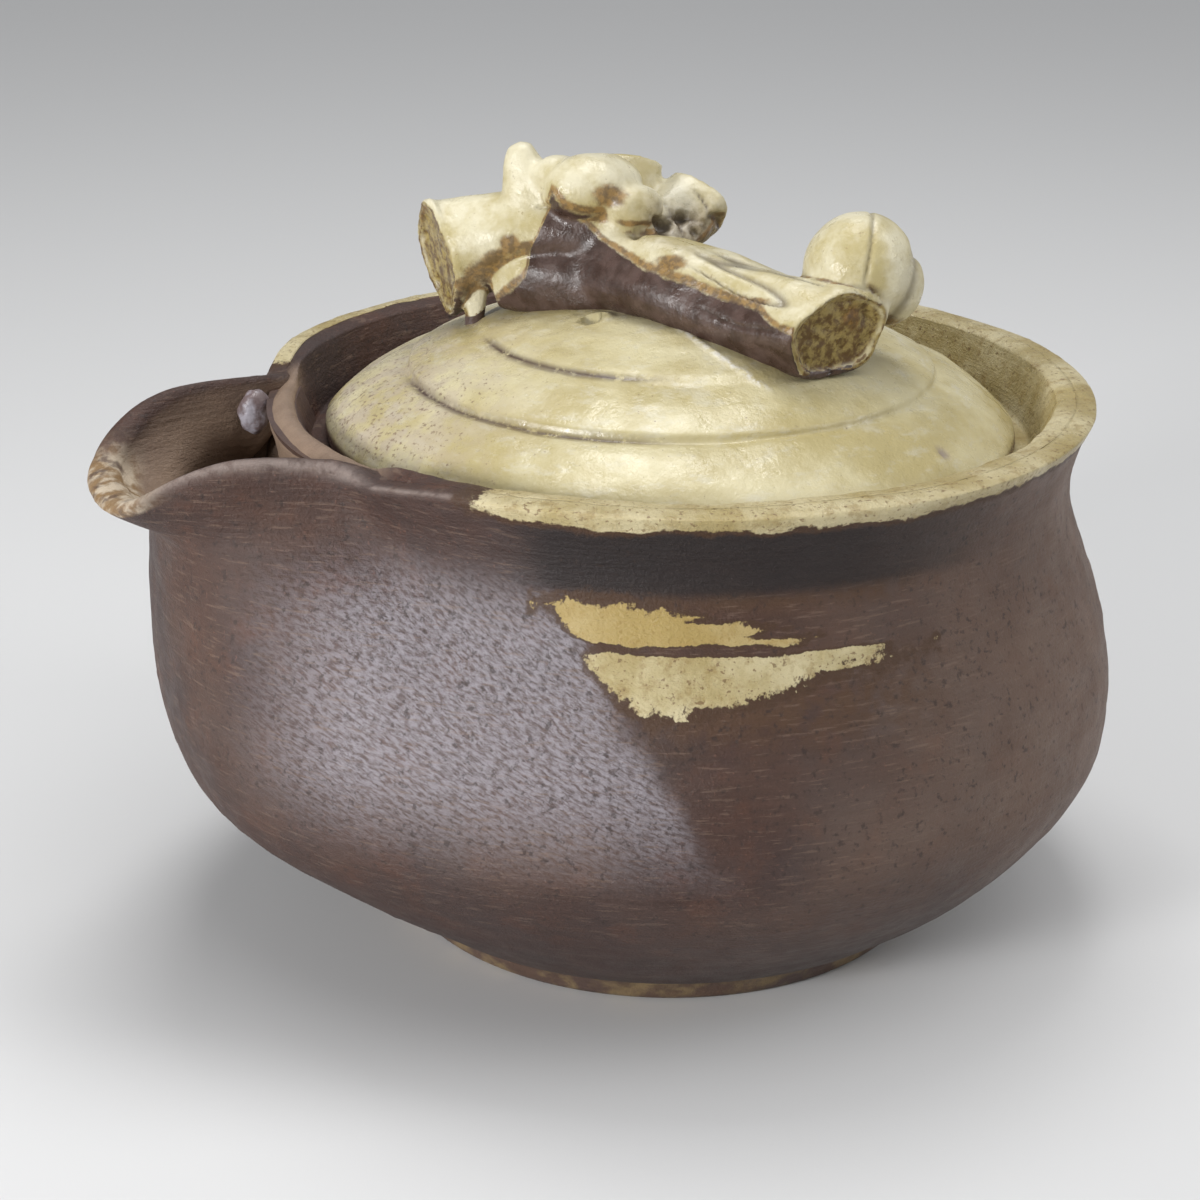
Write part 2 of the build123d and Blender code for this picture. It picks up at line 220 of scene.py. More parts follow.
def pot_profile(psi):
    """Radius and height of every point from the foot up the outside, over the lip and onto the ledge.

    Behind the spout's lip the rows dive into the pouring channel and climb the strainer.
    Elsewhere those rows close up on the rim.
    """
    zero = 0 * psi
    size = np.abs(psi)
    flow = 1 - ease(size, 21.0, 29.0)
    deep = 1 - ease(size, 22.0, 27.0)
    rows = [(35.0 + zero, FOOT + zero)]
    for level in np.concatenate([[FOOT, 4.9], np.linspace(5.5, RIM - 0.5, OUTSIDE - 3)]):
        rows.append(outer_point(psi, level + zero))

    # over the lip
    top_radius, top_height = outer_point(psi, RIM + zero)
    rim_wall, spout_wall = 4.6, 3.2 + 0.8 * bump_at(psi, 0, 11)
    wall = rim_wall + (spout_wall - rim_wall) * flow
    crown = 0.5 + 0.8 * flow
    for turn in np.linspace(0, 1, LIP - OUTSIDE):
        angle = math.pi * turn * (0.5 + 0.5 * flow)
        rows.append((top_radius - wall / 2 * (1 - np.cos(angle)), top_height + crown * np.sin(angle)))

    # down into the channel and up the strainer
    lip_radius, lip_height = rows[-1]
    shares = np.linspace(0, 1, (CHANNEL - LIP) // 2 + 1)[1:]
    inner = []
    for drop in shares:
        radius, height = outer_point(psi, RIM - (RIM - CHANNEL_FLOOR) * drop + zero)
        inner.append((radius - wall - 1.4 * ease(drop, 0.94, 1.0), height))
    for rise in shares:
        height = CHANNEL_FLOOR + (STRAINER_TOP - CHANNEL_FLOOR) * rise
        inner.append((line_at(BOWL, height + zero) - 1.05, height))
    for radius, height in inner:
        rows.append((lip_radius + (radius - lip_radius) * flow, lip_height + (height - lip_height) * deep))

    # over the strainer's ridge and down the slope to the ledge
    start_radius, start_height = rows[-1]
    end_radius = 43.3 - 0.6 * flow
    end_height = RIM - 2.2 * flow
    turned = math.pi / 2 * (1 - flow)
    for step in np.linspace(0, 1, CREST - CHANNEL + 1)[1:]:
        angle = turned + (math.pi - turned) * step
        along = (np.cos(turned) - np.cos(angle)) / (np.cos(turned) + 1)
        lift = (0.5 + 0.9 * flow) * (np.sin(angle) - np.sin(turned) * (1 - along))
        rows.append((start_radius + (end_radius - start_radius) * along,
                     start_height + (end_height - start_height) * along + lift))
    for along in np.linspace(0, 1, SLOPE - CREST + 1)[1:]:
        rows.append((end_radius + (41.0 - end_radius) * along, end_height + (LEDGE - end_height) * along))
    top, edge = LEDGE + 0.06, LEDGE_RADIUS - 0.06
    for radius, height in ((40.7, top), (39.2, top), (37.7, top), (edge, LEDGE - 0.2), (edge, LEDGE - 2.2)):
        rows.append((radius + zero, height + zero))

    # the channel stays inside the spout's shell
    radius = np.array([r for r, _ in rows])
    height = np.array([h for _, h in rows])
    for k in range(len(psi)):
        shell = np.interp(height[LIP:CHANNEL, k], height[1:OUTSIDE, k], radius[1:OUTSIDE, k])
        radius[LIP:CHANNEL, k] = np.minimum(radius[LIP:CHANNEL, k], shell - 1.2)
    return radius, height


def in_window(psi, height):
    """Whether a point lies in the part of the wall where the strainer's holes are."""
    return (np.abs(psi) < 19.5) & (height > 26.6) & (height < 51.0)


def throwing_lines(azimuth, height, seed):
    """Fine level lines that the wheel leaves, about a tenth of a millimetre deep."""
    drift = noise(on_axis(azimuth, 20, height * 0), 14.0, seed) * 0.8
    fine = on_axis(azimuth, 9, (height + drift) * 4.2)
    wide = on_axis(azimuth, 5, (height + drift) * 1.3)
    return noise(fine, 3.0, seed + 1) * 0.06 + noise(wide, 3.0, seed + 2) * 0.09


# Pot skin. Columns run round the pot; front is degrees from the spout's axis on the side that the photo shows.

psi = pot_columns()[::-1]
radius, height = pot_profile(psi)
azimuth = np.radians(180 - psi) + 0 * radius
pot = on_axis(azimuth, radius, height)
wrapped = psi + 0 * radius
front = -wrapped
row = np.arange(len(pot))[:, None] + 0 * azimuth
outside = row < OUTSIDE
seat = ease(row, CREST + 4, SLOPE - 1)

# Relief of the clay: a wobble, the wheel's lines and grit
wobble = layered(pot, 17.0, 3, 2) * 0.28 + noise(pot, 5.0, 9) * 0.07
lines = throwing_lines(azimuth, height, 20)
lines = lines * (0.35 + 0.65 * ease(np.abs(wrapped), 45, 75)) * (row < LIP)
grit = np.maximum(0, noise(pot, 1.7, 31) - 0.45) * 0.16 - np.maximum(0, noise(pot, 1.5, 35) - 0.55) * 0.22
rough = (wobble + lines + grit * (row > 2)) * (1 - seat)
rough = rough + layered(pot, 2.6, 41, 2) * 0.10 * ease(row, OUTSIDE, LIP) * (1 - seat)

# Patch of ash on the shoulder, between two edges of (degrees, height), with dragged streaks
PATCH_TOP = ((53, 51.9), (55, 52.5), (62, 52.9), (69, 52.6), (77, 52.1), (84, 50.8), (91, 49.2),
             (96, 47.8), (101, 46.8))
PATCH_LOW = ((53, 52.4), (56.4, 48.9), (58.5, 46.8), (61, 44.4), (64.7, 42.7), (70.5, 42.7), (76.3, 43.7),
             (82.5, 44.8), (87.6, 46.0), (94.4, 46.5), (101, 47.2))
ash = np.minimum(broken_line(front, PATCH_TOP) - height, height - broken_line(front, PATCH_LOW)) * 0.5
ash = ash + layered(pot * [1, 1, 2.5], 2.2, 51, 3) * 0.30
ash = ash - ease(front, 70, 84) * ease(height, 48.4, 49.4)
ash = np.where(outside & (front > 50) & (front < 104), ash, -1.0)
streak = bump_at(height, 48.5 + 0.35 * noise(pot, 5, 57) + 0.2 * noise(pot, 1.4, 59), 0.55)
streak = streak * ease(noise(pot, 2.2, 58), -1.3, -0.5)
drag = noise(pot * [0.22, 0.22, 2.6], 1.6, 56) * ease(front, 62, 76) * (0.35 + 0.65 * ease(height, 46.5, 48.5))
ash = np.clip(ash, -1, 1) - streak * 1.7 - np.maximum(0, drag) * 2.4

# Ash on the rim and down its inside, but not round the spout
wet_rim = ease(front, 36, 52) + ease(wrapped, 20, 40)
rim_ash = np.where(row > LIP, 1.0, height - 61.1 + layered(pot, 3.0, 61, 3) * 0.5)
rim_ash = np.where(row > LIP + 3, rim_ash - between(wrapped, 8, 24, 95, 125) * 2.2, rim_ash)
rim_ash = np.clip(rim_ash, -1, 1) * wet_rim - (1 - wet_rim)
rim_ash = np.where((height > 55.5) & ((row <= CREST - 2) | (wet_rim > 0.5)), rim_ash, -1)

# Where the clay changes colour, and where a highlight on the lip, a sheen on the belly and shade towards the foot
# are painted
tip = ease(bump_at(wrapped, -1, 10), 0.25, 0.7) * (row > OUTSIDE - 3) * (row < LIP + 1)
# Painted highlight: a pale line along the outer edge of the lip beside the spout
painted_lip_highlight = (front > 5) * (1 - ease(front, 38, 50)) * bump_at(row, OUTSIDE + 3, 2.2)
channel = between(row, LIP - 3, LIP + 2, CREST - 2, CREST + 4) * (1 - ease(np.abs(wrapped), 22, 30))
band = between(height, 52.8, 54.6, 60.6, 61.2) * between(front, 45, 54, 88, 125) * outside
warm = ease(front, 62, 130) + ease(wrapped, 130, 170)
warm = np.where(outside, warm * 0.8 + layered(pot, 14, 71, 2) * 0.3, 0.5 * warm)
# Painted sheen: the violet zone on the front of the belly, which gets pale strokes in its colour and a lower
# roughness
sheen_edge = 52.0 + (56.7 - height) * 0.75 + noise(pot, 4, 76) * 1.5
violet = between(front, 14, 34, sheen_edge - 2.5, sheen_edge + 1.5) * between(height, 22, 36, 48, 57) * outside
ruddy = (bump_at(height, 43.5, 4.5) + bump_at(height, 53.5, 1.6)) * between(front, 52, 62, 92, 112) * outside
golden = ease(height, 48.2, 48.9) * outside
# Painted shade: the outside darker towards the foot
low = (1 - ease(height, 5, 34)) * outside

# Relief of glaze, of a ridge and a groove at the shoulder, of scrapes, dents and a scored line.
# Taking a little off at the belly keeps the skin inside the frame's box.
relief = rough * ease(row, 2, 10) + np.clip(ash * 2, 0, 1) * 0.10 + np.clip(rim_ash * 2, 0, 1) * 0.08 * (1 - seat)
relief = relief - 0.28 * bump_at(height, BELLY, 14) * outside
ridge = bump_at(height, broken_line(front, ((90, 44.8), (107, 46.3), (127, 45.9))), 0.5)
relief = relief + 0.15 * ridge * between(front, 86, 96, 125, 140) * outside
scrape = np.stack([wrapped * 0.9 + height * 0.55, height * 0.25 - wrapped * 0.2, 0 * height], -1)
relief = relief + noise(scrape, 1.1, 77) * 0.035 * violet
tail = bump_at(height, broken_line(front, ((76, 45.4), (100, 46.7))), 0.18) * between(front, 74, 80, 98, 104)
relief = relief - 0.22 * tail * outside
DENTS = ((28.9, 34.9, 1.0, 0.35), (37.9, 24.5, 1.3, 0.25), (41.0, 23.6, 1.6, 0.2), (59.0, 27.0, 0.7, 0.2))
for where, level, wide, depth in DENTS:
    away = np.hypot((front - where) * 0.9, height - level)
    relief = relief - depth * bump_at(away, 0, wide) * outside
scored = bump_at(height, 23.0 + 0.3 * noise(pot, 8, 81), 0.25) * between(front, 45, 52, 72, 80)
relief = relief - scored * 0.18
pot = pot + grid_normals(pot) * relief[..., None]

# No faces over the strainer's holes: the frame's own strainer shows there
hidden = (row >= LIP + 2) & (row < CHANNEL) & in_window(wrapped, height)
hidden = hidden & (np.hypot(pot[..., 0], pot[..., 1]) < line_at(BOWL, height) - 0.4)
values = {"ash": ash, "rim_ash": rim_ash, "tip": tip, "band": band, "warm": warm, "violet": violet,
          "around": -np.abs(wrapped) * 0.9, "painted_lip_highlight": painted_lip_highlight, "ruddy": ruddy, "golden": golden,
          "channel": channel, "low": low}
skin = add_mesh("pot_skin", pot, grid_faces(len(pot), len(psi), keep=~hidden), values)
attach(skin, "pot")
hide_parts("bowl", "spout")

# Inside of the bowl

turns = np.linspace(0, 2 * math.pi, 181)[:-1]
levels = np.concatenate([np.linspace(UNDER_LEDGE, LEDGE_ROOT, 5)[:-1], np.linspace(LEDGE_ROOT, BELLY, 34)])
under_ledge = np.interp(levels, [LEDGE_ROOT, UNDER_LEDGE], [41.9, LEDGE_RADIUS])
inside_radius = np.where(levels > LEDGE_ROOT, under_ledge, line_at(BOWL, levels) - 4.12)
BEND = ((48.23, BELLY), (48.23, 17.0), (40.0, FLOOR_TOP), (28.0, FLOOR_TOP))
share = np.linspace(0, 1, 26)[1:, None]
bend = sum(math.comb(3, k) * (1 - share) ** (3 - k) * share ** k * np.array(BEND[k]) for k in range(4))
well = np.linspace(28.0, 0.2, 22)[1:]
radius = np.concatenate([inside_radius, bend[:, 0], well])[:, None] + 0 * turns
height = np.concatenate([levels, bend[:, 1], FLOOR_TOP + 0 * well])[:, None] + 0 * turns
azimuth = -turns + 0 * radius
inside = on_axis(azimuth, radius, height)
swirl = throwing_lines(azimuth, height + radius * 0.4, 90)
fade = ease(UNDER_LEDGE - height, 0.5, 3)
inside = inside + grid_normals(inside) * ((swirl * 1.2 - 0.1) * fade)[..., None]
psi = (180 - np.degrees(azimuth)) % 360
psi = np.where(psi > 180, psi - 360, psi)
well_piece = add_mesh("pot_inside", inside, grid_faces(len(radius), len(turns), keep=~in_window(psi, height)))
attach(well_piece, "pot")

# Foot ring

FOOT_LINE = ((27.0, 4.7), (26.5, 4.2), (26.5, 2.0), (26.6, 0.6), (27.0, 0.15), (27.6, 0.02), (28.4, 0.0),
             (29.4, 0.0), (30.4, 0.0), (31.1, 0.03), (31.7, 0.25), (32.05, 0.7), (32.3, 1.2), (32.7, 1.9),
             (33.2, 2.7), (33.7, 3.4), (34.15, 4.0), (34.4, 4.4), (34.5, 4.9))
turns = np.linspace(0, 2 * math.pi, 361)[:-1]
radius, height = (np.array(line)[:, None] + 0 * turns for line in zip(*FOOT_LINE))
foot = on_axis(turns + 0 * radius, radius, height)
clear = between(height, 0.3, 1.5, 4.0, 4.7)
foot = foot + grid_normals(foot) * (clear * (layered(foot, 3.0, 101, 2) * 0.18 - 0.05))[..., None]
foot_piece = add_mesh("foot_skin", foot, grid_faces(len(FOOT_LINE), len(turns)))
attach(foot_piece, "pot")
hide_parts("foot_ring")

# Underside of the bowl inside the foot ring, with a turned spiral

turns = turns[::2]
radius = np.linspace(0.2, 35.6, 60)[:, None] + 0 * turns
spiral = np.sin(radius * 2.4 + turns) * 0.05 * (radius < 26)
base = on_axis(turns + 0 * radius, radius, FOOT + spiral + 0.05)
base_piece = add_mesh("pot_base", base[::-1], grid_faces(len(base), len(turns)))
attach(base_piece, "pot")

# Luting wads: pressed lumps of clay, by (name, node, degrees, reach, height, radii)

WADS = (("wad_far", "lute_wad_far", 17.6, 47.4, 59.0, (1.8, 1.5, 2.4)),
        ("wad_near", "lute_wad_near", -18.5, 46.6, 57.6, (1.9, 1.9, 2.6)))
wads = []
for name, node, where, reach, level, radii in WADS:
    unit = unit_ball(40)
    lump = 1 + 0.16 * layered(unit * 2, 1.3, 7 + len(wads), 2)
    centre = on_axis(math.radians(180 - where), reach, level)
    wad = add_mesh(name, centre + unit * lump[..., None] * radii, grid_faces(*unit.shape[:2]))
    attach(wad, "pot")
    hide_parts(node)
    wads.append(wad)

# Lid

CROWN_EDGE = 21.4
STEP = 29.6
DOME = 55.05


def lid_height(radius):
    """Height of the lid's top: a crown and two shallow steps down to the edge."""
    crown = 72.4 - (radius / CROWN_EDGE) ** 2 * 3.4
    t = np.clip((radius - CROWN_EDGE) / (STEP - CROWN_EDGE), 0, 1)
    middle = 68.5 - 3.2 * t + 1.76 * t * (1 - t) + 0.5 * (1 - ease(radius, CROWN_EDGE - 0.2, CROWN_EDGE + 1.2))
    t = np.clip((radius - STEP) / 9.7, 0, 1)
    brim = 64.7 - 5.7 * t + 3.22 * t * (1 - t) + 0.6 * (1 - ease(radius, STEP, STEP + 0.35))
    return np.where(radius > STEP, brim, np.where(radius > CROWN_EDGE, middle, crown))


# Its section, from the middle of the top over the edge and the flange to the middle of the dome inside
turns = np.linspace(0, 2 * math.pi, 421)[:-1]
top_radius = np.sort(np.concatenate([np.linspace(0.15, 38.3, 86), [29.45, 29.58, 29.7, 29.82, 29.95, 30.1]]))
top_rows = len(top_radius)
UNDER_LINE = ((38.75, 59.35), (39.1, 58.95), (39.25, 58.45), (39.3, 57.9), (39.25, 57.4), (39.1, 57.0),
              (38.8, 56.8), (38.0, 56.8), (37.0, 56.8), (36.45, 56.8), (36.4, 56.5), (36.4, 54.6), (36.35, 53.0),
              (36.0, 52.65), (35.1, 52.6), (34.2, 52.65), (33.85, 53.0), (33.8, 54.8), (33.8, 56.6))
dome_radius = np.linspace(33.7, 0.15, 44)
dome_height = 68.4 - DOME + np.sqrt(DOME ** 2 - dome_radius ** 2)
under_radius, under_height = zip(*UNDER_LINE)
radius = np.concatenate([top_radius, under_radius, dome_radius])[:, None] + 0 * turns
height = np.concatenate([lid_height(top_radius), under_height, dome_height])[:, None] + 0 * turns
azimuth = turns + 0 * radius
lid = on_axis(azimuth, radius, height)
row = np.arange(len(radius))[:, None] + 0 * azimuth
on_top = 1 - ease(row, top_rows - 2, top_rows + 5)
front = np.degrees(azimuth) - 180

# Relief: two cut rings that fade out, the wheel's lines, a crater and a crusty line of glaze
wander = noise(on_axis(azimuth, 12.0, 0 * radius), 7.0, 111) * 0.5
cut_one = bump_at(radius, 21.7 + wander, 0.42) * between(front, -14, 4, 48, 74)
cut_two = bump_at(radius, 30.3 + wander * 0.6, 0.42) * (0.5 + 0.5 * between(front, -12, 2, 60, 95))
lift = layered(lid, 12.0, 131, 3) * 0.22 + throwing_lines(azimuth, radius * 0.9, 120) * 0.8
lift = lift + layered(lid, 1.6, 135, 2) * 0.035 - 0.34 * cut_one - 0.30 * cut_two
crater = np.hypot(lid[..., 0] - 18.3, lid[..., 1] + 31.3)
lift = lift - 0.35 * bump_at(crater, 0, 0.5) + 0.12 * bump_at(crater, 0.85, 0.25)
toward = -lid[..., 1]
CRUST_LINE = ((11.5, -3.6), (15.6, -2.5), (20.2, -1.1), (23.9, 1.0))
crust = bump_at(lid[..., 0], broken_line(toward, CRUST_LINE), 0.45) * between(toward, 9.5, 12.5, 23.0, 25.0)
lift = lift + crust * (0.16 + 0.2 * np.maximum(0, noise(lid, 1.0, 151)))
drip = noise(on_axis(azimuth, 26.0, 0 * radius), 5.0, 141) * ease(radius, 30, 36)
lift = (lift + 0.12 * drip) * on_top - 0.12 * on_top * ease(radius, 37.0, 38.3)
lid = lid + grid_normals(lid) * -lift[..., None]

# Steam hole: points near its edge move onto it, those inside go down to its foot, and its floor is left out
HOLE = np.array([-10.8, -3.2])
HOLE_RADIUS = 1.4
hole_way = lid[..., :2] - HOLE
hole_away = np.hypot(hole_way[..., 0], hole_way[..., 1])
near = np.abs(hole_away - HOLE_RADIUS) < 0.26
lid[..., :2] = np.where(near[..., None], HOLE + hole_way / hole_away[..., None] * HOLE_RADIUS, lid[..., :2])
in_hole = (hole_away < HOLE_RADIUS - 0.26) | (near & (hole_away < HOLE_RADIUS))
lid[..., 2] = np.where(in_hole & (row < top_rows), 67.25, lid[..., 2])
burr = bump_at(np.degrees(np.arctan2(hole_way[..., 1], hole_way[..., 0])), -20, 50) * bump_at(hole_away, 1.75, 0.4)
lid[..., 2] = lid[..., 2] + 0.35 * burr * (row < top_rows) * ~in_hole
faces = grid_faces(len(radius), len(turns))
faces = faces[hole_away.ravel()[faces].mean(axis=1) > 1.12]
specks = ease(-np.abs(front + 8), -60, -15) * ease(radius, 12, 36)
# Where shade is painted along the cut rings
grooves = np.clip(cut_one + cut_two * between(front, -14, 2, 50, 80), 0, 1)
values = {"specks": specks * on_top, "groove": grooves * on_top, "under": 1 - on_top, "crust": crust * on_top,
          "crater": bump_at(crater, 0.2, 0.5) * on_top}
lid_piece = add_mesh("lid_skin", lid, faces[:, ::-1], values)
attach(lid_piece, "lid")
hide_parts("lid")

# Branch knob: limbs through stations of (x, y, z, half width, half height), joined into one lump of clay

LOG = ((-9.0, 7.0, 77.0, 4.6, 4.6), (-5.5, 1.0, 75.2, 5.2, 5.0), (-1.5, -5.5, 74.8, 5.7, 5.5),
       (4.0, -14.0, 73.0, 5.8, 5.6), (9.4, -22.6, 72.9, 6.8, 5.1))
ARM = ((-7.0, 4.5, 79.2, 4.4, 4.8), (-14.0, 8.8, 78.8, 4.4, 4.6), (-19.5, 12.2, 76.9, 4.8, 5.4),
       (-22.9, 14.2, 75.2, 5.6, 6.9))
PEG = ((-19.9, 10.6, 67.2, 1.3, 1.2), (-19.9, 10.6, 70.0, 1.1, 1.0), (-19.4, 10.8, 75.0, 1.5, 1.4))
STUB = ((-12.0, 7.6, 79.0, 5.4, 4.4), (-13.3, 8.5, 82.5, 4.2, 3.2), (-14.3, 9.3, 85.6, 2.7, 2.1),
        (-14.8, 9.7, 88.4, 1.4, 1.1))
PETAL = ((-5.0, 5.5, 79.0, 4.6, 2.8), (-4.0, 8.4, 82.8, 5.0, 2.8), (-3.0, 10.6, 85.4, 5.2, 2.4))
BACK = ((-3.0, 2.0, 77.0, 4.2, 4.0), (1.4, 4.2, 79.4, 4.3, 4.0), (5.0, 5.9, 81.6, 4.7, 3.8))
WEB = ((-4.7, 1.4, 73.4, 4.6, 4.6), (-9.7, 4.9, 73.8, 4.4, 4.8), (-14.5, 8.0, 73.6, 3.6, 4.4),
       (-17.5, 10.0, 73.0, 2.0, 3.2))
BUD = np.array([14.9, -16.4, 78.0])
LOBE = np.array([18.0, -16.8, 76.4])
LOG_END = np.array(LOG[-1][:3])
ARM_END = np.array(ARM[-1][:3])
LOG_FACING = np.array([0.22, -0.95, -0.2]) / np.linalg.norm([0.22, -0.95, -0.2])
ARM_FACING = np.array([-0.97, -0.03, -0.2]) / np.linalg.norm([-0.97, -0.03, -0.2])
LOG_RUN = (0.53, -0.85, -0.25)
ARM_RUN = (-0.82, 0.5, -0.2)

# The knob's front as it is seen: across to the right, and up a plane that leans back
ACROSS = np.array([0.934, -0.358, 0.0])
FRONT = np.array([-0.358, -0.934, 0.0])
UPWARD = np.array([0.1316, 0.3432, 0.930])


def distance(points, place):
    """How far each point is from a place."""
    return np.linalg.norm(points - place, axis=1)


def curve_through(knots, steps):
    """Points on a smooth line through knots of any width."""
    knots = np.asarray(knots, float)
    padded = np.vstack([2 * knots[0] - knots[1], knots, 2 * knots[-1] - knots[-2]])
    points = []
    for k in range(len(knots) - 1):
        a, b, c, d = padded[k:k + 4]
        for t in np.arange(steps) / steps:
            bend = (2 * a - 5 * b + 4 * c - d) * t ** 2 + (3 * b - a - 3 * c + d) * t ** 3
            points.append(0.5 * (2 * b + (c - a) * t + bend))
    points.append(knots[-1])
    return np.array(points)


def limb(stations, lobes, ridge, seed, up=(0, 0, 1), facing=None, sawn=0.0, steps=8, around=56):
    """Points and quads of one closed length of branch, its far end sawn to a shallow face in a rim of bark."""
    line = curve_through(stations, steps)
    along = np.gradient(line[:, :3], axis=0)
    along /= np.linalg.norm(along, axis=1, keepdims=True)
    if facing is not None:
        swing = ease(np.linspace(0, 1, len(line)), 0.72, 1.0)[:, None]
        along = along * (1 - swing) + np.asarray(facing) * swing
        along /= np.linalg.norm(along, axis=1, keepdims=True)
    side = np.cross(along, up)
    side /= np.linalg.norm(side, axis=1, keepdims=True)
    over = np.cross(along, side)
    angle = np.linspace(0, 2 * math.pi, around + 1)[:-1]
    twist = noise(line[:, :3], 9.0, seed) * 0.5
    bark = 1 + ridge * np.cos(lobes * (angle[None, :] + twist[:, None]))
    rings = (line[:, None, :3] + side[:, None] * (line[:, 3, None] * bark * np.cos(angle))[..., None]
             + over[:, None] * (line[:, 4, None] * bark * np.sin(angle))[..., None])
    first = line[0, :3] + (rings[0] - line[0, :3]) * 0.02
    whole = [first[None], rings]
    tip, face = line[-1, :3], along[-1]
    for share, out in ((0.98, 0.5), (0.93, 0.8), (0.88, 0.75), (0.84, 0.4), (0.80, 0.1), (0.5, 0.1), (0.02, 0.1)):
        out = out * sawn if sawn else 0.5 * (1 - share)
        whole.append((tip + (rings[-1] - tip) * share + face * out)[None])
    points = np.vstack(whole)
    return points.reshape(-1, 3), grid_faces(len(points), around)[:, ::-1]


def ball(centre, radii):
    """Points and quads of a squashed ball."""
    unit = unit_ball(48)
    return (np.array(centre) + unit * np.array(radii)).reshape(-1, 3), grid_faces(*unit.shape[:2])


shapes = [
    limb(LOG, 5, 0.05, 201, facing=LOG_FACING, sawn=1.0),
    limb(ARM, 4, 0.05, 202, facing=ARM_FACING, sawn=1.0),
    limb(PEG, 3, 0.08, 203, up=(0, 1, 0)),
    limb(STUB, 3, 0.09, 204, up=(0, 1, 0)),
    limb(PETAL, 2, 0.05, 205),
    limb(BACK, 4, 0.06, 206, sawn=0.5),
    limb(WEB, 2, 0.03, 207),
    ball((-4.6, 3.4, 78.6), (5.6, 5.0, 4.6)),
    ball((0.2, 5.6, 79.4), (4.8, 3.4, 3.4)),
    ball((0.2, 7.6, 81.6), (4.6, 3.2, 2.6)),
    ball((-8.2, 4.0, 84.2), (5.8, 4.3, 3.9)),
    ball((-4.6, 0.6, 82.4), (3.4, 2.6, 2.8)),
    ball((-11.2, 6.6, 85.2), (3.4, 2.6, 2.4)),
    ball(BUD, (6.2, 6.0, 6.3)),
    ball(LOBE, (4.2, 4.4, 4.7)),
    ball((12.0, -13.0, 73.0), (4.5, 4.0, 3.0)),
]
points, faces, count = [], [], 0
for shape_points, shape_faces in shapes:
    points.append(shape_points)
    faces.append(shape_faces + count)
    count += len(shape_points)
knob = add_mesh("knob_skin", np.vstack(points), np.vstack(faces))
remesh = knob.modifiers.new("join", "REMESH")
remesh.mode = "VOXEL"
remesh.voxel_size = 0.30 * MM
soften = knob.modifiers.new("soften", "SMOOTH")
soften.factor = 0.5
soften.iterations = 12
bpy.context.view_layer.update()
joined = bpy.data.meshes.new_from_object(knob.evaluated_get(bpy.context.evaluated_depsgraph_get()))
knob.modifiers.clear()
knob.data = joined
amount = len(joined.vertices)
spots = np.zeros(amount * 3)
joined.vertices.foreach_get("co", spots)
spots = spots.reshape(-1, 3) / MM
facing = np.zeros(amount * 3)
joined.vertex_normals.foreach_get("vector", facing)
facing = facing.reshape(-1, 3)


def stretched(direction, left):
    """The knob's points squeezed along a direction to the share left, so that noise runs in streaks that way."""
    direction = np.array(direction) / np.linalg.norm(direction)
    along = spots @ direction
    return spots - np.outer(along * (1 - left), direction)


def bark_grain(run, seed):
    """Coarse and fine streaks along a limb."""
    return noise(stretched(run, 0.08), 3.2, seed) + 0.25 * noise(stretched(run, 0.1), 1.4, seed + 1)


def sawn_face(end, direction, steep, limit):
    """1 on a limb's sawn end, where the clay faces the way that the limb points."""
    face = ease((spots - end) @ direction, -1.2, -0.5) * ease(facing @ direction, *steep)
    return face * (1 - ease(distance(spots, end), *limit)) if limit else face


on_arm = ease(-(spots @ np.array([0.85, -0.5, 0])), 9.0, 13.0)
on_bud = np.maximum(1 - ease(distance(spots, BUD), 6.3, 7.4), 1 - ease(distance(spots, LOBE), 4.6, 5.4))
log_sawn = sawn_face(LOG_END, LOG_FACING, (0.75, 0.92), (6.0, 6.8))
arm_sawn = sawn_face(ARM_END, ARM_FACING, (0.7, 0.9), None)
sawn = np.clip(log_sawn + arm_sawn, 0, 1)
across, upward = spots @ ACROSS, spots @ UPWARD
in_front = ease(facing @ FRONT, -0.05, 0.35)

# Relief: the grain of the bark, grooves on the log, and roughness on the sawn ends
grain = bark_grain(LOG_RUN, 211) * (1 - on_arm) + bark_grain(ARM_RUN, 213) * on_arm
groove = bump_at(noise(stretched(LOG_RUN, 0.06), 1.8, 216), 0.0, 0.09) * (1 - on_bud) * (1 - sawn)
groove = groove * ease(facing[:, 2], -0.3, 0.3) * ease(noise(spots, 4.0, 215), -0.3, 0.2) * ease(across, -3.0, 0.5)
lift = grain * (0.10 + 0.08 * (1 - on_arm)) * (1 - on_bud) * (1 - sawn)
lift = lift + layered(spots, 5.0, 221, 2) * 0.22 * (1 - 0.6 * on_bud) + noise(spots, 1.3, 225) * 0.04
lift = lift - groove * 0.34 - sawn * (0.05 + 0.34 * np.maximum(0, layered(spots, 1.3, 227, 2)))

# The bud's crease and the seam between its lobes
bud_away = (spots - BUD) @ ACROSS - 0.17 * (spots[:, 2] - BUD[2])
crease = bump_at(bud_away, 0.0, 0.22) * (1 - ease(distance(spots, BUD), 6.6, 7.2)) * ease(spots[:, 2], 76.5, 79.5)
crease = crease * (0.4 + 0.6 * ease(noise(spots, 2.0, 228), -0.4, 0.2))
seam = bump_at(distance(spots, BUD), 6.4, 0.3) * ease(5.2 - distance(spots, LOBE), -0.4, 0.4)
lift = lift - crease * 0.35 - seam * 0.35

